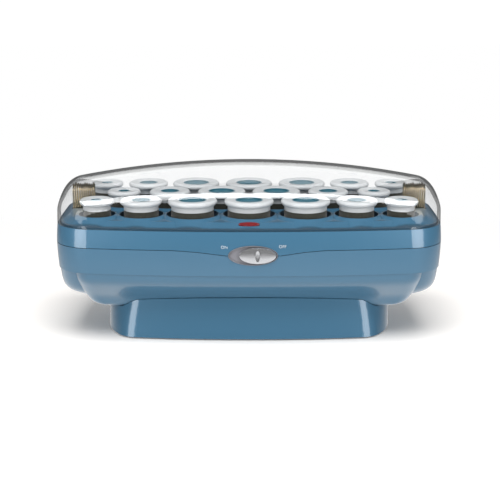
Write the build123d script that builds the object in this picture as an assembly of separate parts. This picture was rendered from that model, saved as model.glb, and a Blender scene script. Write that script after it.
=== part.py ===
"""Heated hair roller set: a blue case on a pedestal, a hinged clear lid and twenty lift-out rollers.

Millimetres. +Z is up, +X runs along the case to the user's right and -Y faces the user.
The origin is on the table, under the middle of the case.
"""
from build123d import *

import os
from math import atan2, degrees

# ---- case heights above the table ------------------------------------------------------------
PAD_DROP = 1.2            # the rubber pads hold the pedestal this far off the table
BELLY_BOTTOM = 27.0
LEDGE_Z = 66.0            # where the belly ends and the full-size case begins
SEAM_Z = 89.5             # parting line between lower and upper housing
SEAM_DIP_Z = 85.0         # the parting line dips to the middle of the switch
RIM_Z = 105.5             # top rim of the upper housing, which carries the lid
SEAM_GAP = 0.5
WALL = 2.5

# ---- case outline: half width, half depth, corner radius -------------------------------------
CASE_HALF_W = 173.0
CASE_HALF_D = 79.8
CASE_CORNER = 35.0
RIM_INSET = (0.8, 2.2)    # the rim is this much narrower and shallower than the parting line
FRONT_BOW = 1100.0        # radius of the gently curved long sides
GRIP_BOW = 4000.0         # radius of the long sides of the grips
END_BOW = 3000.0          # radius of the curved ends

# ---- rollers ---------------------------------------------------------------------------------
BARREL_R = {"large": 19.0, "medium": 15.5, "small": 12.25}
ROLLER_TOP = 127.4
ROLLER_LENGTH = 57.0
FLANGE = 3.0              # a ring stands this far out from its barrel
FLANGE_H = 5.5
NECK_H = 3.9              # straight part of a ring, as wide as the barrel
RING_WIDTH = 7.0          # from the barrel's radius in to the ring's hole
SLEEVE_WALL = 1.4
CORE_WALL = 1.2
CORE_RECESS = 2.4         # the closed top of the core lies this far below the ring
ROW_PITCH = 41.0
OUTER_ROW = [("small", -135.4), ("medium", -96.0), ("large", -50.4), ("large", 0.0),
             ("large", 50.4), ("medium", 96.0), ("small", 135.4)]
MIDDLE_ROW = [("small", -115.3), ("medium", -73.0), ("large", -25.2),
              ("large", 25.2), ("medium", 73.0), ("small", 115.3)]
ROWS = {"front": (-ROW_PITCH, OUTER_ROW), "middle": (0.0, MIDDLE_ROW), "back": (ROW_PITCH, OUTER_ROW)}

# ---- tray ------------------------------------------------------------------------------------
WELL_GAP = 4.0            # air between a barrel and its well
WELL_WALL = 1.5
COLLAR_TOP = 113.8
COLLAR_LIP = 1.2
COLLAR_SLOPE = 9.5        # how far a collar spreads on its way down to the tray's edge
TRAY_EDGE_Z = 107.5
TRAY_DECK_Z = 111.6
TRAY_INSET = 3.0
LENS_PLACE = (0.0, -69.9, 110.7)
LENS_SIZE = (18.4, 4.8)
WELL_FLOOR_Z = ROLLER_TOP - ROLLER_LENGTH - 0.02
POCKET_X = 152.2          # centre of each pin pocket
POCKET_SIZE = (23.0, 17.0)
POCKET_FLOOR_Z = 80.5

# ---- pins ------------------------------------------------------------------------------------
PIN_COUNT = 10            # in each bundle
PIN_PITCH = 2.05
PIN_WIRE_R = 0.62
PIN_HALF_W = 5.2
PIN_TOP = 133.2
PIN_STEP = 0.35           # neighbouring pins stand up to three of these steps higher

# ---- lid -------------------------------------------------------------------------------------
LID_TOP = 153.9
LID_WALL = 2.6
LID_GAP = 0.2             # air between the lid's edge and the rim
LID_LENGTH_BOW = 825.0    # radius of the lid's top along the case
LID_DEPTH_BOW = 150.0     # and across it
LID_SWING = 26.0          # degrees of the lengthwise curve, enough to pass both ends
LID_SHOULDER = 18.0       # rounding between the lid's walls and its top
HINGE_X = 95.0
HINGE_Y = 80.0
HINGE_Z = 105.0
KNUCKLE_R = 3.3
HINGE_PIN_R = 1.5
RUNNING_GAP = 0.05

# ---- switch ----------------------------------------------------------------------------------
SWITCH_X = 3.5
SWITCH_TRAVEL = 8.0
BEZEL_FRONT = -80.1
RIDGE_PROUD = 3.2         # the knob's ridge stands this far out of the bezel
BEZEL_SIZE = (43.3, 17.6)
KNOB_SIZE = (33.6, 15.0)
KNOB_OFFSET = 4.0         # the knob rests at the right-hand end of its bezel

# ---- heater ----------------------------------------------------------------------------------
PLATE_Z = 60.4
PLATE_THICK = 4.0
POST_GAP = 0.6            # air between a heating post and the roller's core
ELEMENT_R = 3.2

# ---- pedestal --------------------------------------------------------------------------------
FOOT_FRONT_BOW = 1250.0
DECK_Z = (23.8, 26.4)     # plate that closes the pedestal under the belly
FOOT_GAP = 0.6            # air between the pedestal and the belly it carries
SPOOL = (80.0, 14.0)      # half length and radius of the cord spool
CORD_R = 2.6
CORD_X = -104.0           # where the cord comes down through the belly
CORD_Z = 11.5
CORD_END_Z = 46.0
CORD_PITCH = 5.7
CORD_HALF_TURNS = 5
PAD_R = 7.0
PAD_PLACE = (98.0, 41.0)
CASE_SCREW = (160.0, 20.0)
FOOT_SCREW = (92.0, 33.0)
SCREW_R = 1.7
SCREW_HEAD_R = 3.2
SCREW_CLEAR_R = 2.0       # hole that a screw passes through
BOSS_R = 4.5
BOSS_TOP = 50.0


# ---- shared shapes ---------------------------------------------------------------------------
def outline(half_w, half_d, corner, front_bow=FRONT_BOW, end_bow=END_BOW):
    """Rounded rectangle whose long sides and ends are gently bowed outwards."""
    x = half_w - half_d**2 / (2 * end_bow)
    y = half_d - half_w**2 / (2 * front_bow)
    edges = ThreePointArc((-x, -y), (0, -half_d), (x, -y))
    edges += ThreePointArc((x, -y), (half_w, 0), (x, y))
    edges += ThreePointArc((x, y), (0, half_d), (-x, y))
    edges += ThreePointArc((-x, y), (-half_w, 0), (-x, -y))
    face = make_face(edges)
    return fillet(face.vertices(), corner)


def stack(sections, front_bow=FRONT_BOW, end_bow=END_BOW):
    """Solid through a list of (height, half width, half depth, corner radius)."""
    faces = [Pos(0, 0, z) * outline(w, d, r, front_bow, end_bow) for z, w, d, r in sections]
    return loft(faces)


def prism(face, low, high):
    """A flat face drawn at height 0, as a solid from low to high."""
    return Pos(0, 0, low) * extrude(face, high - low)


def tube(outer, inner, low, high):
    return prism(Circle(outer) - Circle(inner), low, high)


def mirrored(place):
    """The four places at plus and minus a place's X and Y."""
    x, y = place
    return [(-x, -y), (-x, y), (x, -y), (x, y)]


def along_x(x, y, z, radius, length):
    """Cylinder lying along X, centred at a point."""
    return Pos(x, y, z) * Rot(0, 90, 0) * Cylinder(radius, length)


def seats():
    """Every roller place as (row, number, size, x, y)."""
    for row, (y, places) in ROWS.items():
        for number, (size, x) in enumerate(places, 1):
            yield row, number, size, x, y


def save(shape, name):
    """One STEP file of the shape's solids."""
    solids = list(shape.solids())
    export_step(solids[0] if len(solids) == 1 else Compound(children=solids), f"parts/{name}.step")


# ---- lower housing ---------------------------------------------------------------------------
def belly(inset=0.0):
    """The boat-shaped middle of the case under the ledge. An inset gives its inside.

    Its long sides are as bowed as the case at the top and nearly straight at the bottom.
    """
    slant = 1.3 * inset
    sections = [
        (LEDGE_Z + 0.5, 155.4, 77.6, 17, FRONT_BOW),
        (61.0, 154.9, 76.4, 17, FRONT_BOW),
        (55.0, 153.9, 72.3, 16, 1150),
        (49.0, 152.6, 65.2, 15, 1250),
        (43.0, 150.9, 57.0, 13, 1500),
        (38.0, 148.7, 50.2, 12, 2000),
        (33.0, 145.4, 45.0, 11, 3000),
        (29.0, 140.6, 41.2, 10, 4000),
        (BELLY_BOTTOM, 134.0, 37.4, 8, 4000),
    ]
    return loft([
        Pos(0, 0, z + inset) * outline(w - slant, d - slant, r - inset, bow)
        for z, w, d, r, bow in sections
    ])


def band(inset=0.0):
    """The full-size lower part of the case, from the ledge to the parting line."""
    sections = [
        (LEDGE_Z + inset, 171.9, 78.4, CASE_CORNER),
        (77.0, 172.6, 79.3, CASE_CORNER),
        (SEAM_Z + inset, CASE_HALF_W, CASE_HALF_D, CASE_CORNER),
    ]
    return stack([(z, w - inset, d - inset, r - inset) for z, w, d, r in sections])


def grips(inset=0.0):
    """The ends that hang below the ledge as carrying grips."""
    sections = [
        (LEDGE_Z + 0.5 - inset, 171.9, 62.0, 30),
        (59.0, 171.6, 58.5, 29),
        (51.5, 170.9, 54.0, 27),
        (44.5, 168.8, 48.5, 25),
        (40.5, 165.2, 43.5, 22),
        (37.8 - inset, 159.5, 39.0, 19),
    ]
    return stack([(z, w - inset, d - inset, r - inset) for z, w, d, r in sections], GRIP_BOW)


def seam_cutter(gap):
    """Everything above the parting line, which dips to the switch at the front and is level behind."""
    high, far = SEAM_Z + 60, CASE_HALF_W + 20
    line = [(-far, SEAM_Z), (-66, SEAM_Z - 0.2), (-44, SEAM_Z - 1.6), (-20, SEAM_DIP_Z),
            (28, SEAM_DIP_Z), (48, SEAM_Z - 1.6), (66, SEAM_Z - 0.2), (far, SEAM_Z)]
    edge = Polyline(*[(x, z - gap) for x, z in line])
    sides = Polyline((far, SEAM_Z - gap), (far, high), (-far, high), (-far, SEAM_Z - gap))
    front = extrude(make_face(Plane.XZ * (edge + sides)), 120)
    back = Pos(0, 60, (SEAM_Z - gap + high) / 2) * Box(2 * far, 120, high - SEAM_Z + gap)
    return front + back


def switch_hole(grow=0.0):
    width, height = BEZEL_SIZE
    ellipse = Ellipse(width / 2 + grow, height / 2 + grow)
    return Pos(SWITCH_X, -60, SEAM_DIP_Z) * extrude(Plane.XZ * ellipse, 40)


def lower_outer():
    return band() + grips() + belly()


def lower_housing(outer):
    shell = outer - band(WALL) - belly(WALL)
    # The grips are skirts: hollow and open underneath, so that fingers hook inside them.
    shell -= grips(WALL) - belly()
    shell -= seam_cutter(SEAM_GAP)
    shell -= switch_hole()
    for x, y in mirrored(CASE_SCREW):
        shell -= Pos(x, y) * prism(Circle(SCREW_CLEAR_R), LEDGE_Z - 10, LEDGE_Z + 10)
    for x, y in mirrored(FOOT_SCREW):
        shell += Pos(x, y) * tube(BOSS_R, SCREW_R, BELLY_BOTTOM + 1, BOSS_TOP) & belly()
        shell -= Pos(x, y) * prism(Circle(SCREW_R), BELLY_BOTTOM - 10, BELLY_BOTTOM + 13)
    shell -= Pos(CORD_X, 0) * prism(Circle(CORD_R + 0.3), BELLY_BOTTOM - 10, BELLY_BOTTOM + 10)
    return shell


# ---- upper housing ---------------------------------------------------------------------------
def upper_outer(inset=0.0, low=SEAM_DIP_Z - 8, high=RIM_Z):
    sections = [
        (low, CASE_HALF_W, CASE_HALF_D, CASE_CORNER),
        (SEAM_Z, CASE_HALF_W, CASE_HALF_D, CASE_CORNER),
        (high, CASE_HALF_W - RIM_INSET[0], CASE_HALF_D - RIM_INSET[1], CASE_CORNER),
    ]
    return stack([(z, w - inset, d - inset, r - inset) for z, w, d, r in sections])


def ear_profile():
    """Side view of a hinge ear on the housing, drawn in Y and Z."""
    y_wall = CASE_HALF_D - 10
    web = Polygon((y_wall, HINGE_Z - 12), (HINGE_Y + 2.6, HINGE_Z - KNUCKLE_R / 2),
                  (HINGE_Y - 0.5, HINGE_Z + KNUCKLE_R - 0.1), (y_wall, RIM_Z - 1.5), align=None)
    return web + Pos(HINGE_Y, HINGE_Z) * Circle(KNUCKLE_R)


def across_x(face, x, width):
    """A profile drawn in Y and Z, as a plate of the given width centred at x."""
    return Pos(x - width / 2, 0, 0) * extrude(Plane.YZ * face, width)


def upper_housing():
    shell = upper_outer() - upper_outer(WALL, SEAM_DIP_Z - 9, RIM_Z + 0.01)
    shell &= seam_cutter(0)
    shell -= switch_hole()
    rim = outline(CASE_HALF_W - RIM_INSET[0] + 0.3, CASE_HALF_D - RIM_INSET[1] + 0.3, CASE_CORNER)
    inside = upper_outer(0.5) + prism(rim, RIM_Z, RIM_Z + 10)
    for side in (-1, 1):
        for step in (-1, 1):
            x = side * HINGE_X + step * 7.3
            shell += across_x(ear_profile(), x, 5.0) - inside
        shell -= along_x(side * HINGE_X, HINGE_Y, HINGE_Z, HINGE_PIN_R + 0.02, 40)
    return shell


def hinge_pins():
    pins = [along_x(side * HINGE_X, HINGE_Y, HINGE_Z, HINGE_PIN_R, 19.6) for side in (-1, 1)]
    return Compound(children=pins)


# ---- tray ------------------------------------------------------------------------------------
def post_radius(size):
    return BARREL_R[size] - RING_WIDTH - CORE_WALL - POST_GAP


def on_collar(shape):
    """Stand a shape on the slope of the front collar, at the lens's place."""
    slope = degrees(atan2(COLLAR_TOP - TRAY_EDGE_Z, COLLAR_SLOPE))
    return Pos(*LENS_PLACE) * Rot(slope, 0, 0) * shape


def lens_hole():
    width, height = LENS_SIZE
    return on_collar(extrude(Ellipse(width / 2 + 0.15, height / 2 + 0.15), 8, both=True))


def roller_tray():
    half_w, half_d = CASE_HALF_W - RIM_INSET[0] - TRAY_INSET, CASE_HALF_D - RIM_INSET[1] - TRAY_INSET
    corner = CASE_CORNER - TRAY_INSET
    rim = prism(outline(half_w, half_d, corner), TRAY_EDGE_Z - 3, TRAY_EDGE_Z)
    foot = (TRAY_EDGE_Z, half_w - 0.6, half_d - 0.6, corner)
    crest = (TRAY_DECK_Z, half_w - 7.7, half_d - 8.2, corner)
    deck = rim + stack([foot, crest])
    for _, _, size, x, y in seats():
        well = BARREL_R[size] + WELL_GAP
        lip = well + COLLAR_LIP
        deck += Pos(x, y, (COLLAR_TOP + TRAY_EDGE_Z) / 2) * Cone(
            lip + COLLAR_SLOPE, lip, COLLAR_TOP - TRAY_EDGE_Z)
        deck += Pos(x, y) * prism(Circle(well + WELL_WALL), WELL_FLOOR_Z - WELL_WALL, TRAY_EDGE_Z)
    for side in (-1, 1):
        pocket = RectangleRounded(POCKET_SIZE[0] + 3, POCKET_SIZE[1] + 3, 4)
        deck += Pos(side * POCKET_X, 0) * prism(pocket, POCKET_FLOOR_Z - WELL_WALL, TRAY_EDGE_Z)
    deck &= prism(outline(half_w, half_d, corner), 0, COLLAR_TOP)
    deck -= under_deck()
    for _, _, size, x, y in seats():
        well = BARREL_R[size] + WELL_GAP
        deck -= Pos(x, y) * prism(Circle(well), WELL_FLOOR_Z, COLLAR_TOP + 5)
        deck -= Pos(x, y) * prism(Circle(post_radius(size) + 1.2), 50, WELL_FLOOR_Z + 1)
    for side in (-1, 1):
        pocket = RectangleRounded(*POCKET_SIZE, 2.5)
        deck -= Pos(side * POCKET_X, 0) * prism(pocket, POCKET_FLOOR_Z, COLLAR_TOP)
    for x, y in mirrored(CASE_SCREW):
        deck += Pos(x, y) * tube(BOSS_R, SCREW_R, LEDGE_Z + WALL + 0.2, TRAY_EDGE_Z)
    deck -= lens_hole()
    return deck


def under_deck():
    """The hollow under the tray's edge, between its wells."""
    hollow = prism(outline(167.0, 72.5, 30), 40, TRAY_EDGE_Z - 0.5)
    for _, _, size, x, y in seats():
        hollow -= Pos(x, y) * prism(Circle(BARREL_R[size] + WELL_GAP + WELL_WALL), 40, TRAY_EDGE_Z)
    for side in (-1, 1):
        pocket = RectangleRounded(POCKET_SIZE[0] + 3, POCKET_SIZE[1] + 3, 4)
        hollow -= Pos(side * POCKET_X, 0) * prism(pocket, 40, TRAY_EDGE_Z)
    return hollow


def indicator_lens():
    """Oval lens that stands a little out of the collar, with a rounded front edge."""
    width, height = LENS_SIZE
    lens = Pos(0, 0, -3.6) * extrude(Ellipse(width / 2, height / 2), 4.2)
    return on_collar(fillet(lens.faces().sort_by(Axis.Z)[-1].edges(), 0.5))


def neon_lamp():
    return along_x(0, LENS_PLACE[1] - 1.2, LENS_PLACE[2] - 7.2, 2.3, 12)


# ---- lid -------------------------------------------------------------------------------------
def dome(inset):
    """The lid's outside, or with an inset its inside: the case outline up to a doubly curved top."""
    half_w, half_d = CASE_HALF_W - RIM_INSET[0] - inset, CASE_HALF_D - RIM_INSET[1] - inset
    base = outline(half_w, half_d, CASE_CORNER - inset)
    walls = Pos(0, 0, RIM_Z + LID_GAP) * extrude(base, 60, taper=1.5)
    top = LID_TOP - inset
    bow = LID_DEPTH_BOW - inset
    across = Pos(0, top - bow) * Circle(bow) & Pos(0, top - 60) * Rectangle(240, 120)
    # The section across the lid swings about a long axis far below, to draw its lengthwise curve.
    axis_z = top - LID_LENGTH_BOW
    crown = revolve(Plane.YZ * across, Axis((0, 0, axis_z), (0, 1, 0)), LID_SWING)
    crown = Pos(0, 0, axis_z) * Rot(0, -LID_SWING / 2, 0) * Pos(0, 0, -axis_z) * crown
    body = walls & crown
    shoulder = [e for e in body.edges() if e.center().Z > RIM_Z + 15]
    return fillet(shoulder, LID_SHOULDER - inset)


def lug_profile():
    """Side view of the lid's half of a hinge, drawn in Y and Z."""
    low, high = RIM_Z + LID_GAP + 0.2, HINGE_Z + KNUCKLE_R
    web = Pos((70 + HINGE_Y) / 2, (low + high) / 2) * Rectangle(HINGE_Y - 70, high - low)
    return web + Pos(HINGE_Y, HINGE_Z) * Circle(KNUCKLE_R)


def clear_lid():
    inside = dome(LID_WALL)
    lid = dome(0) - inside
    for side in (-1, 1):
        lid += across_x(lug_profile(), side * HINGE_X, 9.0) - inside
        lid -= along_x(side * HINGE_X, HINGE_Y, HINGE_Z, HINGE_PIN_R + RUNNING_GAP, 40)
    return lid


# ---- switch ----------------------------------------------------------------------------------
def front_plate(face, x, z, front, thick):
    """A face drawn in X and Z, as a plate whose front is at depth front and which runs back from it."""
    return Pos(x, front + thick, z) * extrude(Plane.XZ * face, thick)


def switch_bezel():
    """A dished oval tray set into the front, with a slot for the switch lever."""
    width, height = BEZEL_SIZE
    rim = front_plate(Ellipse(width / 2 - 0.15, height / 2 - 0.15), SWITCH_X, SEAM_DIP_Z, BEZEL_FRONT, 4.4)
    dish = Ellipse(width / 2 - 0.5, height / 2 - 0.5)
    rim -= front_plate(dish, SWITCH_X, SEAM_DIP_Z, BEZEL_FRONT - 1, 2.8)
    slot = SlotOverall(SWITCH_TRAVEL + 6.4, 4.6)
    return rim - front_plate(slot, SWITCH_X, SEAM_DIP_Z, BEZEL_FRONT, 10)


def switch_knob():
    """The oval finger piece with its central ridge and the stem that works the switch."""
    x = SWITCH_X + KNOB_OFFSET
    width, height = KNOB_SIZE
    pad = front_plate(Ellipse(width / 2, height / 2), x, SEAM_DIP_Z, BEZEL_FRONT - 1.3, 2.9)
    pad = fillet(pad.faces().sort_by(Axis.Y)[0].edges(), 1.1)
    rib = SlotOverall(height - 2.4, 4.0, rotation=90)
    ridge = front_plate(rib, x, SEAM_DIP_Z, BEZEL_FRONT - RIDGE_PROUD, 2.8)
    ridge = fillet(ridge.faces().sort_by(Axis.Y)[0].edges(), 0.9)
    stem = front_plate(Rectangle(4.0, 3.4), x, SEAM_DIP_Z, BEZEL_FRONT + 1.5, 3.6)
    return pad + ridge + stem


def slide_switch():
    """The switch behind the bezel, with its lever and three terminals."""
    x = SWITCH_X
    body = front_plate(Rectangle(26, 10), x, SEAM_DIP_Z, BEZEL_FRONT + 5.3, 6.2)
    for step in (-7, 0, 7):
        body += Pos(x + step, -71, SEAM_DIP_Z - 8) * Box(2.4, 0.8, 6)
    return body


# ---- heater ----------------------------------------------------------------------------------
def heater_plate():
    plate = prism(outline(146.0, 60.0, 28), PLATE_Z, PLATE_Z + PLATE_THICK)
    return fillet(plate.edges().filter_by(Axis.Z, reverse=True).group_by(Axis.Z)[-1], 0.8)


def heating_posts():
    """Domed aluminium posts standing on the plate, one under every roller."""
    posts = []
    for _, _, size, x, y in seats():
        radius = post_radius(size)
        low = PLATE_Z + PLATE_THICK + 0.02
        high = ROLLER_TOP - CORE_RECESS - CORE_WALL - 3.0
        post = Pos(x, y) * prism(Circle(radius), low, high)
        posts.append(fillet(post.edges().group_by(Axis.Z)[-1], min(2.0, radius * 0.5)))
    return Compound(children=[s for p in posts for s in p.solids()])


def heating_element():
    """A sheathed element bent into a long U under the plate, with its two terminal tails."""
    z = PLATE_Z - ELEMENT_R - 0.05
    reach, half = 112.0, 30.0
    bend = half
    path = Line((-reach, -half, z), (reach - bend, -half, z))
    path += CenterArc((reach - bend, 0, z), half, -90, 180)
    path += Line((reach - bend, half, z), (-reach, half, z))
    rod = sweep(Plane(origin=(-reach, -half, z), z_dir=(1, 0, 0)) * Circle(ELEMENT_R), path)
    for y in (-half, half):
        rod += along_x(-reach - 5, y, z, 1.4, 10.2)
    return rod


def thermostat():
    """Bimetal disc thermostat clamped under the middle of the plate."""
    can = prism(Circle(8.5), PLATE_Z - 9.5, PLATE_Z - 0.1)
    flange = prism(SlotOverall(30, 12), PLATE_Z - 1.4, PLATE_Z - 0.1)
    body = can + flange
    for x in (-5.5, 5.5):
        body += Pos(x, 0, PLATE_Z - 12.4) * Box(0.9, 6.2, 7)
    return body


# ---- rollers ---------------------------------------------------------------------------------
def top_ring(size):
    """Cool-touch end ring: a rounded flange over a neck as wide as the barrel, with a dished top."""
    barrel = BARREL_R[size]
    hole = barrel - RING_WIDTH
    outer = barrel + FLANGE
    low = -FLANGE_H - NECK_H
    profile = Polyline((hole + 0.05, -1.0), (hole + 1.2, -0.5), (outer - 2.6, 0.0))
    profile += ThreePointArc((outer - 2.6, 0.0), (outer - 0.7, -0.8), (outer, -2.6))
    profile += ThreePointArc((outer, -2.6), (outer - 1.0, -4.6), (barrel, -FLANGE_H))
    profile += Polyline((barrel, -FLANGE_H), (barrel, low), (hole + 0.05, low), (hole + 0.05, -1.0))
    return revolve(Plane.XZ * make_face(profile), Axis.Z)


def roller_rings(size):
    """The two identical end rings of a roller, as separate solids."""
    upper = Pos(0, 0, ROLLER_TOP) * top_ring(size)
    lower = Pos(0, 0, ROLLER_TOP - ROLLER_LENGTH) * Rot(180, 0, 0) * top_ring(size)
    return upper, lower


def roller_barrel(size):
    """The heat-holding sleeve and the core that slips over the heating post, as separate solids."""
    barrel = BARREL_R[size]
    end = FLANGE_H + NECK_H + 0.05
    low, high = ROLLER_TOP - ROLLER_LENGTH + end, ROLLER_TOP - end
    sleeve = tube(barrel, barrel - SLEEVE_WALL, low, high)
    core_r = barrel - RING_WIDTH
    core_low, core_high = ROLLER_TOP - ROLLER_LENGTH + 0.4, ROLLER_TOP - 0.9
    core = tube(core_r, core_r - CORE_WALL, core_low, core_high)
    cap_z = ROLLER_TOP - CORE_RECESS
    core += prism(Circle(core_r - 0.1), cap_z - CORE_WALL, cap_z)
    for angle in range(0, 360, 60):
        reach = barrel - SLEEVE_WALL - 0.05 - core_r + 0.6
        fin = Pos(core_r - 0.6 + reach / 2, 0, (low + high) / 2) * Box(reach, 1.0, high - low - 1)
        core += Rot(0, 0, angle) * fin
    return sleeve, core


# ---- pins ------------------------------------------------------------------------------------
def u_pin(x, lift):
    """One roller pin: a wire bent into a hoop whose legs run down with a slight wave."""
    low = POCKET_FLOOR_Z + 0.02
    high = PIN_TOP - PIN_WIRE_R + lift
    half = PIN_HALF_W
    bend_z = high - half

    def leg(side):
        return [(0, side * half, bend_z), (0, side * (half - 0.9), bend_z - 14),
                (0, side * half, bend_z - 26), (0, side * (half - 0.6), low)]

    down = (0, 0, -1)
    left = Spline(*leg(-1), tangents=[down, down])
    right = Spline(*leg(1), tangents=[down, down])
    path = left + ThreePointArc((0, -half, bend_z), (0, 0, high), (0, half, bend_z)) + right
    start = left @ 1
    wire = sweep(Plane(origin=start, z_dir=(0, 0, 1)) * Circle(PIN_WIRE_R), path)
    return Pos(x, 0, 0) * wire


def u_pins(side):
    """The stack of roller pins in one pocket, counted from its outer end."""
    outermost = POCKET_X + (PIN_COUNT - 1) * PIN_PITCH / 2
    pins = [u_pin(side * (outermost - i * PIN_PITCH), PIN_STEP * (i * 3 % 4)) for i in range(PIN_COUNT)]
    return Compound(children=[s for p in pins for s in p.solids()])


# ---- pedestal --------------------------------------------------------------------------------
def foot_shape(inset=0.0):
    sections = [
        (PAD_DROP - 3 * inset, 131.2, 56.8, 22, 82),
        (15.0, 130.7, 54.8, 22, 68),
        (50.0, 129.0, 50.0, 22, 40),
    ]
    return loft([
        Pos(0, 0, z) * outline(w - inset, d - inset, r - inset / 2, FOOT_FRONT_BOW, ends)
        for z, w, d, r, ends in sections
    ])


def spool_face(grow=0.0):
    half, radius = SPOOL
    return SlotOverall(2 * (half + radius + grow), 2 * (radius + grow))


def pedestal(outer):
    """Skirt, closing plate and cord spool, cut to sit against the belly."""
    foot = foot_shape() - foot_shape(WALL)
    foot += foot_shape(0.2) & Pos(0, 0, sum(DECK_Z) / 2) * Box(300, 200, DECK_Z[1] - DECK_Z[0])
    foot += prism(spool_face() - spool_face(-2.2), 4.0, DECK_Z[0] + 0.5)
    foot += prism(spool_face(6.0) - spool_face(-2.2), 4.0, 6.0)
    for x, y in mirrored(FOOT_SCREW):
        foot += Pos(x, y) * prism(Circle(5.5), DECK_Z[0], 36)
    for x, y in mirrored(PAD_PLACE):
        foot += Pos(x, y) * prism(Circle(PAD_R + 2), PAD_DROP, DECK_Z[0] + 0.5) & foot_shape()
    foot -= Pos(0, 0, -FOOT_GAP) * outer
    for x, y in mirrored(FOOT_SCREW):
        foot -= Pos(x, y) * prism(Circle(SCREW_CLEAR_R), 0, 60)
        foot -= Pos(x, y) * prism(Circle(SCREW_HEAD_R + 0.6), 0, DECK_Z[1] - 2.6)
    for x, y in mirrored(PAD_PLACE):
        foot -= Pos(x, y) * prism(Circle(PAD_R + 0.05), 0, PAD_DROP + 1.6)
    foot -= Pos(CORD_X, 0) * prism(Circle(CORD_R + 0.3), 0, 60)
    return foot


def foot_pads():
    pads = []
    for x, y in mirrored(PAD_PLACE):
        pad = Pos(x, y) * prism(Circle(PAD_R), 0, PAD_DROP + 1.55)
        pads.append(fillet(pad.edges().group_by(Axis.Z)[0], 0.5))
    return Compound(children=[s for p in pads for s in p.solids()])


def screw(x, y, head_z):
    """Pan-head screw driven upwards, with a cross recess."""
    head = Pos(x, y) * prism(Circle(SCREW_HEAD_R), head_z - 2.2, head_z)
    head = fillet(head.edges().group_by(Axis.Z)[0], 1.0)
    shank = Pos(x, y) * prism(Circle(SCREW_R - 0.05), head_z, head_z + 13)
    cross = Rectangle(3.6, 0.9) + Rectangle(0.9, 3.6)
    return head + shank - Pos(x, y) * prism(cross, head_z - 3, head_z - 1.2)


def case_screws():
    """Four screws up through the ledge into the tray, and four that hold the pedestal to the belly."""
    screws = [screw(x, y, LEDGE_Z + 0.5 - WALL - 0.05) for x, y in mirrored(CASE_SCREW)]
    screws += [screw(x, y, DECK_Z[1] - 2.65) for x, y in mirrored(FOOT_SCREW)]
    return Compound(children=[s for p in screws for s in p.solids()])


def power_cord():
    """The mains cord wound in a flat spiral round the spool, with its moulded plug."""
    half, z, bend = SPOOL[0], CORD_Z, 6.0
    first_y = SPOOL[1] + CORD_R - 0.6 - bend
    path = Line((CORD_X, 0, CORD_END_Z), (CORD_X, 0, z + bend))
    path += ThreePointArc((CORD_X, 0, z + bend), (CORD_X, bend * 0.293, z + bend * 0.293), (CORD_X, bend, z))
    path += Line((CORD_X, bend, z), (CORD_X, first_y, z))
    path += JernArc(start=(CORD_X, first_y, z), tangent=(0, 1, 0), radius=9, arc_size=-90)
    x, y, _ = path @ 1
    path += Line((x, y, z), (half, y, z))
    for turn in range(CORD_HALF_TURNS):
        # Each half turn ends half a pitch further out than it began.
        side = 1 if turn % 2 == 0 else -1
        end_y = -(y + side * CORD_PITCH / 2)
        centre_y = (y + end_y) / 2
        radius = abs(y - end_y) / 2
        path += ThreePointArc((side * half, y, z), (side * (half + radius), centre_y, z),
                              (side * half, end_y, z))
        y = end_y
        last = -side * half if turn < CORD_HALF_TURNS - 1 else side * (half - 60)
        path += Line((side * half, y, z), (last, y, z))
    cord = sweep(Plane(origin=(CORD_X, 0, CORD_END_Z), z_dir=(0, 0, -1)) * Circle(CORD_R), path)
    end = path @ 1
    plug = Pos(end.X - 14, end.Y, z) * Box(28, 17, 10)
    plug = fillet(plug.edges(), 2.5)
    blades = [Pos(end.X - 28 - 8, end.Y + s * 6.35, z) * Box(17, 1.5, 6.3) for s in (-1, 1)]
    return Compound(children=[*(cord + plug).solids(), *[b.solids()[0] for b in blades]])


# ---- build -----------------------------------------------------------------------------------
def main():
    os.makedirs("parts", exist_ok=True)
    outer = lower_outer()
    save(lower_housing(outer), "lower_housing")
    save(upper_housing(), "upper_housing")
    save(roller_tray(), "roller_tray")
    save(pedestal(outer), "pedestal_foot")
    save(foot_pads(), "foot_pads")
    save(clear_lid(), "clear_lid")
    save(hinge_pins(), "hinge_pins")
    save(switch_bezel(), "switch_bezel")
    save(switch_knob(), "switch_knob")
    save(slide_switch(), "slide_switch")
    save(indicator_lens(), "indicator_lens")
    save(neon_lamp(), "neon_lamp")
    save(heater_plate(), "heater_plate")
    save(heating_posts(), "heating_posts")
    save(heating_element(), "heating_element")
    save(thermostat(), "thermostat")
    save(power_cord(), "power_cord")
    save(case_screws(), "case_screws")
    save(u_pins(-1), "u_pins_left")
    save(u_pins(1), "u_pins_right")
    made = {size: (roller_barrel(size), roller_rings(size)) for size in BARREL_R}
    for row, number, size, x, y in seats():
        for name, solids in zip(("barrel", "rings"), made[size]):
            placed = [s.solids()[0] for s in (Pos(x, y, 0) * part for part in solids)]
            save(Compound(children=placed), f"{row}_roller_{number}_{name}")


main()
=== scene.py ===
"""Looks of the heated hair roller set: finishes, lettering, floor, lights and camera.

Lengths are in metres in the frame of the CAD model: +Z up, -Y towards the viewer.
"""

import math

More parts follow.
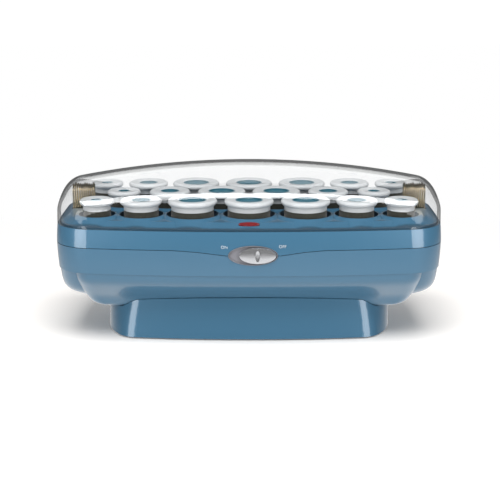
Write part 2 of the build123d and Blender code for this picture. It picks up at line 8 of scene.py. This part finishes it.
import bpy
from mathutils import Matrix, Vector


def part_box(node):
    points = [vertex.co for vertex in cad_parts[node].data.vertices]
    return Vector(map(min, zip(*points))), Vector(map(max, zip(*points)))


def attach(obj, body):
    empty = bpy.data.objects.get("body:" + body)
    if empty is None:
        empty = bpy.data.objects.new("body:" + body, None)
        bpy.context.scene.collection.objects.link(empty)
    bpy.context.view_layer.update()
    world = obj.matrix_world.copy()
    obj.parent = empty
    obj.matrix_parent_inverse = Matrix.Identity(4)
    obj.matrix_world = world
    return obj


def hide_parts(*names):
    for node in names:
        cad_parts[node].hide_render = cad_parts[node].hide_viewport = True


# ---- colours, as seen (sRGB, 0 to 255) -------------------------------------------------------
CASE_BLUE = (55, 99, 126)
TRAY_BLUE = (53, 98, 125)
RING_WHITE = (186, 189, 191)
BARREL_DARK = (48, 49, 42)
CUP_TEAL = (44, 98, 114)
LENS_RED = (105, 20, 24)
BEZEL_GREY = (116, 116, 122)
KNOB_SILVER = (214, 215, 218)
LETTER_GREY = (205, 212, 218)
STEEL = (128, 116, 96)
PIN_BRASS = (196, 180, 148)
INNER_METAL = (190, 190, 190)
RUBBER = (22, 22, 24)

# How much the lid mirrors and how much it passes, from head on (0) to edge-on (1), and how fast its
# wall soaks up light
LID_SHINE = (
    (0.0, 0.03), (0.4, 0.06), (0.6, 0.16), (0.75, 0.32), (0.79, 0.26), (0.82, 0.04), (1.0, 0.0)
)
LID_TINT = ((0.0, 1.0), (0.77, 0.99), (0.79, 0.86), (0.82, 0.40), (1.0, 0.37))
LID_MURK = 18.0

# ---- sizes, in metres ------------------------------------------------------------------------
CORE_INSET = 0.0067       # the core's wall lies further in than this from the barrel's outside
LETTER_SIZE = 0.0038
LETTER_THICK = 0.00005
LETTER_Y = -0.0796        # the front of the case at its middle
FRONT_BOW = 1.1           # radius of the gently curved front
FRONT_TILT = math.radians(82)
KNOB_SET_BACK = 0.0021    # from the front of the CAD knob to the plane of the cap's edge
KNOB_DOME = 0.0011        # how far the middle of the knob stands proud of its edge
KNOB_LIP = 0.0016         # how far its edge rolls back
KNOB_RIB = 0.0011         # how far its rib stands up
KNOB_RIB_HALF = (0.0025, 0.0064)
KNOB_SKIRT = 0.0022
FLOOR_DROP = 0.0002       # keeps the floor just under the rubber pads
FLOOR_FADE = (0.24, 0.55)  # the floor turns pure white between these distances from the origin

# ---- light -----------------------------------------------------------------------------------
WORLD_LIGHT = 0.34        # what the world gives as light
WORLD_SEEN = 1.05         # what the camera sees of it
SHINE_ABOVE = 0.14        # what glossy surfaces mirror from above and from below
SHINE_BELOW = 1.0
SHINE_TURN = (-0.42, -0.12)  # the height of direction over which the one turns into the other

# ---- camera ----------------------------------------------------------------------------------
AIM = Vector((0.0, 0.0, 0.070))
ELEVATION = math.radians(14.2)
DISTANCE = 1.115
LENS_MM = 85.9
SHIFT_X = 0.002


# ---- small helpers ---------------------------------------------------------------------------
def linear(rgb):
    """An sRGB colour as the linear RGBA that shaders take."""
    def channel(c):
        c /= 255
        return c / 12.92 if c <= 0.04045 else ((c + 0.055) / 1.055) ** 2.4
    return (*[channel(c) for c in rgb], 1.0)


class Shader:
    """A new node material, with short calls to add and link nodes."""

    def __init__(self, name):
        self.material = bpy.data.materials.new(name)
        self.material.use_nodes = True
        self.tree = self.material.node_tree
        self.principled = self.tree.nodes["Principled BSDF"]
        self.output = self.tree.nodes["Material Output"]

    def node(self, kind, **settings):
        made = self.tree.nodes.new(kind)
        for key, value in settings.items():
            if hasattr(made, key):
                setattr(made, key, value)
            else:
                made.inputs[key.replace("_", " ")].default_value = value
        return made

    def link(self, source, target):
        self.tree.links.new(source, target)

    def set(self, **inputs):
        for key, value in inputs.items():
            self.principled.inputs[key.replace("_", " ")].default_value = value
        return self

    def ramp(self, source, *stops):
        """A colour ramp through (position, grey) stops."""
        ramp = self.node("ShaderNodeValToRGB")
        self.link(source, ramp.inputs["Fac"])
        elements = ramp.color_ramp.elements
        while len(elements) < len(stops):
            elements.new(0.5)
        for element, (position, grey) in zip(elements, stops):
            element.position = position
            element.color = (grey, grey, grey, 1)
        return ramp.outputs["Color"]

    def noise(self, scale, detail=2.0):
        place = self.node("ShaderNodeTexCoord")
        noise = self.node("ShaderNodeTexNoise", Scale=scale, Detail=detail)
        self.link(place.outputs["Object"], noise.inputs["Vector"])
        return noise.outputs["Fac"]

    def bump(self, height, strength, distance):
        bump = self.node("ShaderNodeBump", Strength=strength, Distance=distance)
        self.link(height, bump.inputs["Height"])
        self.link(bump.outputs["Normal"], self.principled.inputs["Normal"])

    def vary(self, colour, scale, amount):
        """Base colour that wanders a little, so that a large part isn't one flat tone."""
        mix = self.node("ShaderNodeMix", data_type="RGBA")
        low = [c * (1 - amount) for c in colour[:3]] + [1]
        high = [min(1, c * (1 + amount)) for c in colour[:3]] + [1]
        mix.inputs["A"].default_value = low
        mix.inputs["B"].default_value = high
        self.link(self.noise(scale), mix.inputs["Factor"])
        self.link(mix.outputs["Result"], self.principled.inputs["Base Color"])

    def painted_crevice_shade(self, reach, darkest):
        """Painted shade: darken the base colour by ambient occlusion where surfaces meet closely, as
        at seams and under ledges.
        """
        base = self.principled.inputs["Base Color"]
        source = base.links[0].from_socket
        near = self.node("ShaderNodeAmbientOcclusion", samples=8, Distance=reach)
        shade = self.ramp(near.outputs["AO"], (0.35, darkest), (0.85, 1.0))
        mix = self.node("ShaderNodeMix", data_type="RGBA", blend_type="MULTIPLY")
        mix.inputs["Factor"].default_value = 1.0
        self.link(source, mix.inputs["A"])
        self.link(shade, mix.inputs["B"])
        self.link(mix.outputs["Result"], base)


# ---- materials -------------------------------------------------------------------------------
def pearl_plastic(name, colour):
    """Glossy moulded plastic with a faint pearl under a clear surface, and painted shade in its seams
    and under ledges.
    """
    shader = Shader(name)
    shader.set(Roughness=0.32, Coat_Weight=0.9, Coat_Roughness=0.04, Coat_IOR=1.5, Metallic=0.12)
    shader.vary(linear(colour), 9.0, 0.03)
    # Painted shade: ambient occlusion darkens the base colour in seams and under ledges.
    shader.painted_crevice_shade(0.003, 0.5)
    shader.bump(shader.noise(45.0), 0.03, 0.0004)
    return shader.material


def plastic(name, colour, roughness=0.35, coat=0.0, metallic=0.0, grain=0.0):
    shader = Shader(name)
    shader.set(Roughness=roughness, Coat_Weight=coat, Coat_Roughness=0.08, Metallic=metallic)
    shader.vary(linear(colour), 60.0, 0.03)
    if grain:
        shader.bump(shader.noise(1800.0), grain, 0.0003)
    return shader.material


def flock(name, colour):
    """Short velvety pile of the roller barrels."""
    shader = Shader(name)
    shader.set(Roughness=0.85, Sheen_Weight=0.25, Specular_IOR_Level=0.25)
    shader.vary(linear(colour), 700.0, 0.22)
    shader.bump(shader.noise(1500.0), 0.5, 0.0005)
    return shader.material


def metal(name, colour, roughness, patchy=0.06):
    shader = Shader(name)
    shader.set(Metallic=1.0)
    shader.vary(linear(colour), 220.0, patchy)
    shader.link(shader.ramp(shader.noise(300.0), (0.3, roughness * 0.7), (0.7, roughness * 1.3)),
                shader.principled.inputs["Roughness"])
    return shader.material


def red_lens(name):
    shader = Shader(name)
    shader.set(Roughness=0.12, Coat_Weight=0.6, Subsurface_Weight=0.1)
    shader.vary(linear(LENS_RED), 150.0, 0.08)
    return shader.material


def clear_plastic(name):
    """Clear lid: see-through, shiny at a glance, and grey where light runs along inside the wall."""
    shader = Shader(name)
    facing = shader.node("ShaderNodeLayerWeight", Blend=0.5).outputs["Facing"]
    path = shader.node("ShaderNodeLightPath")
    # Only the first wall that the eye meets tints, or the lid would be black along its length.
    first_wall = shader.node("ShaderNodeMath", operation="LESS_THAN")
    shader.link(path.outputs["Transparent Depth"], first_wall.inputs[0])
    first_wall.inputs[1].default_value = 1.5
    tint = shader.node("ShaderNodeMix", data_type="RGBA")
    tint.inputs["A"].default_value = (1, 1, 1, 1)
    shader.link(first_wall.outputs["Value"], tint.inputs["Factor"])
    shader.link(shader.ramp(facing, *LID_TINT), tint.inputs["B"])
    clear = shader.node("ShaderNodeBsdfTransparent")
    shader.link(tint.outputs["Result"], clear.inputs["Color"])
    murk = shader.node("ShaderNodeVolumeAbsorption", Density=LID_MURK)
    murk.inputs["Color"].default_value = (0.50, 0.52, 0.53, 1)
    shader.link(murk.outputs["Volume"], shader.output.inputs["Volume"])
    gloss = shader.node("ShaderNodeBsdfGlossy", Roughness=0.02)
    gloss.inputs["Color"].default_value = (0.96, 0.97, 0.97, 1)
    # Each wall mirrors once, on the side that light meets first.
    side = shader.node("ShaderNodeNewGeometry")
    front = shader.node("ShaderNodeMath", operation="SUBTRACT")
    front.inputs[0].default_value = 1.0
    shader.link(side.outputs["Backfacing"], front.inputs[1])
    both = shader.node("ShaderNodeMath", operation="MULTIPLY", use_clamp=True)
    shader.link(shader.ramp(facing, *LID_SHINE), both.inputs[0])
    shader.link(front.outputs["Value"], both.inputs[1])
    shine = shader.node("ShaderNodeMixShader")
    shader.link(both.outputs["Value"], shine.inputs["Fac"])
    shader.link(clear.outputs["BSDF"], shine.inputs[1])
    shader.link(gloss.outputs["BSDF"], shine.inputs[2])
    # Lamps shine through it almost freely, so that it doesn't darken the rollers.
    open_air = shader.node("ShaderNodeBsdfTransparent")
    open_air.inputs["Color"].default_value = (0.97, 0.97, 0.97, 1)
    either = shader.node("ShaderNodeMath", operation="MAXIMUM")
    shader.link(path.outputs["Is Shadow Ray"], either.inputs[0])
    shader.link(path.outputs["Is Diffuse Ray"], either.inputs[1])
    final = shader.node("ShaderNodeMixShader")
    shader.link(either.outputs["Value"], final.inputs["Fac"])
    shader.link(shine.outputs["Shader"], final.inputs[1])
    shader.link(open_air.outputs["BSDF"], final.inputs[2])
    shader.link(final.outputs["Shader"], shader.output.inputs["Surface"])
    return shader.material


MATERIALS = {
    "case": pearl_plastic("case_blue", CASE_BLUE),
    "tray": pearl_plastic("tray_blue", TRAY_BLUE),
    "ring": plastic("ring_white", RING_WHITE, 0.32, coat=0.2),
    "barrel": flock("barrel_flock", BARREL_DARK),
    "cup": plastic("cup_teal", CUP_TEAL, 0.4, coat=0.3),
    "lid": clear_plastic("lid_clear"),
    "lens": red_lens("lens_red"),
    "bezel": plastic("bezel_grey", BEZEL_GREY, 0.5, grain=0.1),
    "knob": plastic("knob_silver", KNOB_SILVER, 0.22, coat=0.4, metallic=0.85),
    "letters": plastic("letter_grey", LETTER_GREY, 0.5),
    "steel": metal("steel", STEEL, 0.22),
    "inner_metal": metal("inner_metal", INNER_METAL, 0.4),
    "pin": metal("pin_brass", PIN_BRASS, 0.2, 0.5),
    "dark": plastic("dark_plastic", RUBBER, 0.6, grain=0.2),
}
NODE_FINISH = {
    "lower_housing": "case", "upper_housing": "case", "pedestal_foot": "case", "roller_tray": "tray",
    "foot_pads": "dark", "clear_lid": "lid", "hinge_pins": "steel", "switch_bezel": "bezel",
    "switch_knob": "knob", "slide_switch": "dark", "indicator_lens": "lens", "neon_lamp": "ring",
    "heater_plate": "inner_metal", "heating_posts": "inner_metal", "heating_element": "steel",
    "thermostat": "steel", "power_cord": "dark", "case_screws": "steel",
    "u_pins_left": "pin", "u_pins_right": "pin",
}


# ---- finishes on the CAD parts ---------------------------------------------------------------
def paint(node, *finishes):
    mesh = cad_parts[node].data
    mesh.materials.clear()
    for finish in finishes:
        mesh.materials.append(MATERIALS[finish])
    return mesh


def paint_rollers():
    """White end rings; dark flock on the sleeve and the core's hidden fins; teal on the core."""
    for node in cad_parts:
        if node.endswith("_rings"):
            paint(node, "ring")
        if node.endswith("_barrel"):
            mesh = paint(node, "barrel", "cup")
            low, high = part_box(node)
            centre_x = (low[0] + high[0]) / 2
            centre_y = (low[1] + high[1]) / 2
            core_limit = (high[0] - low[0]) / 2 - CORE_INSET
            for face in mesh.polygons:
                away = math.hypot(face.center.x - centre_x, face.center.y - centre_y)
                face.material_index = 1 if away < core_limit else 0


def letters(name, text, x, z):
    """Small printed word on the front of the case."""
    curve = bpy.data.curves.new(name, "FONT")
    curve.body = text
    curve.size = LETTER_SIZE
    curve.align_x = "CENTER"
    curve.align_y = "CENTER"
    curve.extrude = LETTER_THICK
    word = bpy.data.objects.new(name, curve)
    word.location = (x, LETTER_Y + x * x / (2 * FRONT_BOW), z)
    word.rotation_euler = (FRONT_TILT, 0, 0)
    bpy.context.scene.collection.objects.link(word)
    curve.materials.append(MATERIALS["letters"])
    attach(word, "base")
    return word


def knob_cap():
    """Domed oval finger piece with a raised oval rib round a shallow dish, as one smooth sheet."""
    rings, spokes = 60, 120
    low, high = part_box("switch_knob")
    half_w, half_h = (high[0] - low[0]) / 2, (high[2] - low[2]) / 2
    centre = Vector(((low[0] + high[0]) / 2, low[1] + KNOB_SET_BACK, (low[2] + high[2]) / 2))
    points, faces = [], []
    for ring in range(1, rings + 1):
        reach = ring / rings
        for spoke in range(spokes):
            turn = math.tau * spoke / spokes
            x, z = half_w * reach * math.cos(turn), half_h * reach * math.sin(turn)
            dome = KNOB_DOME * (1 - reach**2.6) - KNOB_LIP * max(0, reach - 0.93) / 0.07
            rib = math.hypot(x / KNOB_RIB_HALF[0], z / KNOB_RIB_HALF[1])
            lift = KNOB_RIB * math.exp(-(((rib - 0.85) / 0.30) ** 2))
            points.append(centre + Vector((x, -dome - lift, z)))
    for ring in range(rings - 1):
        for spoke in range(spokes):
            after = (spoke + 1) % spokes
            low, high = ring * spokes, (ring + 1) * spokes
            faces.append((low + spoke, low + after, high + after, high + spoke))
    faces.append(tuple(reversed(range(spokes))))
    skirt = [point + Vector((0, KNOB_SKIRT, 0)) for point in points[-spokes:]]
    edge, hem = len(points) - spokes, len(points)
    points += skirt
    for spoke in range(spokes):
        after = (spoke + 1) % spokes
        faces.append((edge + spoke, edge + after, hem + after, hem + spoke))
    mesh = bpy.data.meshes.new("knob_cap")
    mesh.from_pydata(points, [], faces)
    mesh.update()
    mesh.shade_smooth()
    mesh.materials.append(MATERIALS["knob"])
    cap = bpy.data.objects.new("knob_cap", mesh)
    bpy.context.scene.collection.objects.link(cap)
    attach(cap, "power_switch")
    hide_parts("switch_knob")


# ---- stage -----------------------------------------------------------------------------------
def white_floor():
    """Pale floor that takes the soft shadow."""
    bpy.ops.mesh.primitive_plane_add(size=5, location=(0, 0.9, -FLOOR_DROP))
    floor = bpy.context.object
    floor.name = "floor"
    shader = Shader("floor_white")
    shader.set(Base_Color=(0.93, 0.90, 0.87, 1), Roughness=0.9, Specular_IOR_Level=0.05,
               Emission_Color=(1, 1, 1, 1), Emission_Strength=0.12)
    # Away from the object it turns to pure white, so that no horizon shows.
    place = shader.node("ShaderNodeNewGeometry")
    length = shader.node("ShaderNodeVectorMath", operation="LENGTH")
    shader.link(place.outputs["Position"], length.inputs[0])
    far = shader.node("ShaderNodeMapRange")
    far.inputs["From Min"].default_value, far.inputs["From Max"].default_value = FLOOR_FADE
    shader.link(length.outputs["Value"], far.inputs["Value"])
    glow = shader.node("ShaderNodeEmission", Strength=1.0)
    blend = shader.node("ShaderNodeMixShader")
    shader.link(far.outputs["Result"], blend.inputs["Fac"])
    shader.link(shader.principled.outputs["BSDF"], blend.inputs[1])
    shader.link(glow.outputs["Emission"], blend.inputs[2])
    shader.link(blend.outputs["Shader"], shader.output.inputs["Surface"])
    floor.data.materials.append(shader.material)
    floor.visible_glossy = False


def softbox(name, place, target, size, watts, only=None, mirrored=True):
    """Rectangular lamp. With only, it lights just those objects; unmirrored, it shows in no shine."""
    light = bpy.data.lights.new(name, "AREA")
    light.shape = "RECTANGLE"
    light.size, light.size_y = size
    light.energy = watts
    lamp = bpy.data.objects.new(name, light)
    lamp.location = place
    lamp.rotation_euler = (Vector(target) - Vector(place)).to_track_quat("-Z", "Y").to_euler()
    bpy.context.scene.collection.objects.link(lamp)
    if only:
        lit = bpy.data.collections.new(name + "_lit")
        for thing in only:
            lit.objects.link(thing)
        lamp.light_linking.receiver_collection = lit
    lamp.visible_glossy = mirrored
    return lamp


def studio_world():
    """White to the camera, softer as light, and mirrored as a pale table under a dim room."""
    world = bpy.data.worlds.new("studio")
    bpy.context.scene.world = world
    world.use_nodes = True
    nodes, links = world.node_tree.nodes, world.node_tree.links
    place = nodes.new("ShaderNodeTexCoord")
    split = nodes.new("ShaderNodeSeparateXYZ")
    links.new(place.outputs["Generated"], split.inputs["Vector"])
    shine = nodes.new("ShaderNodeMapRange")
    shine.inputs["From Min"].default_value, shine.inputs["From Max"].default_value = SHINE_TURN
    shine.inputs["To Min"].default_value = SHINE_BELOW
    shine.inputs["To Max"].default_value = SHINE_ABOVE
    links.new(split.outputs["Z"], shine.inputs["Value"])
    path = nodes.new("ShaderNodeLightPath")
    glossy = nodes.new("ShaderNodeMix")
    links.new(path.outputs["Is Glossy Ray"], glossy.inputs["Factor"])
    glossy.inputs["A"].default_value = WORLD_LIGHT
    links.new(shine.outputs["Result"], glossy.inputs["B"])
    seen = nodes.new("ShaderNodeMix")
    links.new(path.outputs["Is Camera Ray"], seen.inputs["Factor"])
    links.new(glossy.outputs["Result"], seen.inputs["A"])
    seen.inputs["B"].default_value = WORLD_SEEN
    links.new(seen.outputs["Result"], nodes["Background"].inputs["Strength"])
    nodes["Background"].inputs["Color"].default_value = (1, 1, 1, 1)


def camera():
    lens = bpy.data.cameras.new("camera")
    lens.lens = LENS_MM
    lens.sensor_width = 36
    lens.shift_x = SHIFT_X
    eye = bpy.data.objects.new("camera", lens)
    eye.location = AIM + DISTANCE * Vector((0, -math.cos(ELEVATION), math.sin(ELEVATION)))
    eye.rotation_euler = (math.radians(90) - ELEVATION, 0, 0)
    bpy.context.scene.collection.objects.link(eye)
    bpy.context.scene.camera = eye


# ---- build -----------------------------------------------------------------------------------
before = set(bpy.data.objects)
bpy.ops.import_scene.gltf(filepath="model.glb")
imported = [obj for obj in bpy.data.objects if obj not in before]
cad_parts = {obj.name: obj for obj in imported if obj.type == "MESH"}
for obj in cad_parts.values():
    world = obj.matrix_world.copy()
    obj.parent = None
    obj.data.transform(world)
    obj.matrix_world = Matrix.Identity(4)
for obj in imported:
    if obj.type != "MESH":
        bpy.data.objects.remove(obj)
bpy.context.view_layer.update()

for node_name, finish_name in NODE_FINISH.items():
    paint(node_name, finish_name)
paint_rollers()
knob_cap()
letters("word_on", "ON", -0.0214, 0.0923)
letters("word_off", "OFF", 0.0291, 0.0928)

white_floor()
studio_world()
softbox("overhead", (0, -0.50, 1.25), (0, 0, 0), (1.1, 0.9), 22, mirrored=False)
parts = list(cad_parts.values())
softbox("rear_fill", (0, 1.40, 0.55), (0, 0, 0.08), (1.2, 0.6), 7, only=parts, mirrored=False)
for side in (-1, 1):
    softbox(f"strip_{side + 1}", (side * 0.95, -0.95, 0.45), (0, 0, 0.45), (0.70, 1.1), 11, only=parts)
lid = [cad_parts["clear_lid"]]
softbox("lid_band", (0, 0.06, 1.30), (0, 0, 0.12), (1.5, 0.8), 39, only=lid)
softbox("lid_haze", (0, 1.60, 0.90), (0, 0, 0.12), (1.12, 1.9), 8.6, only=lid)
camera()

view = bpy.context.scene.view_settings
view.view_transform = "Standard"
view.look = "None"
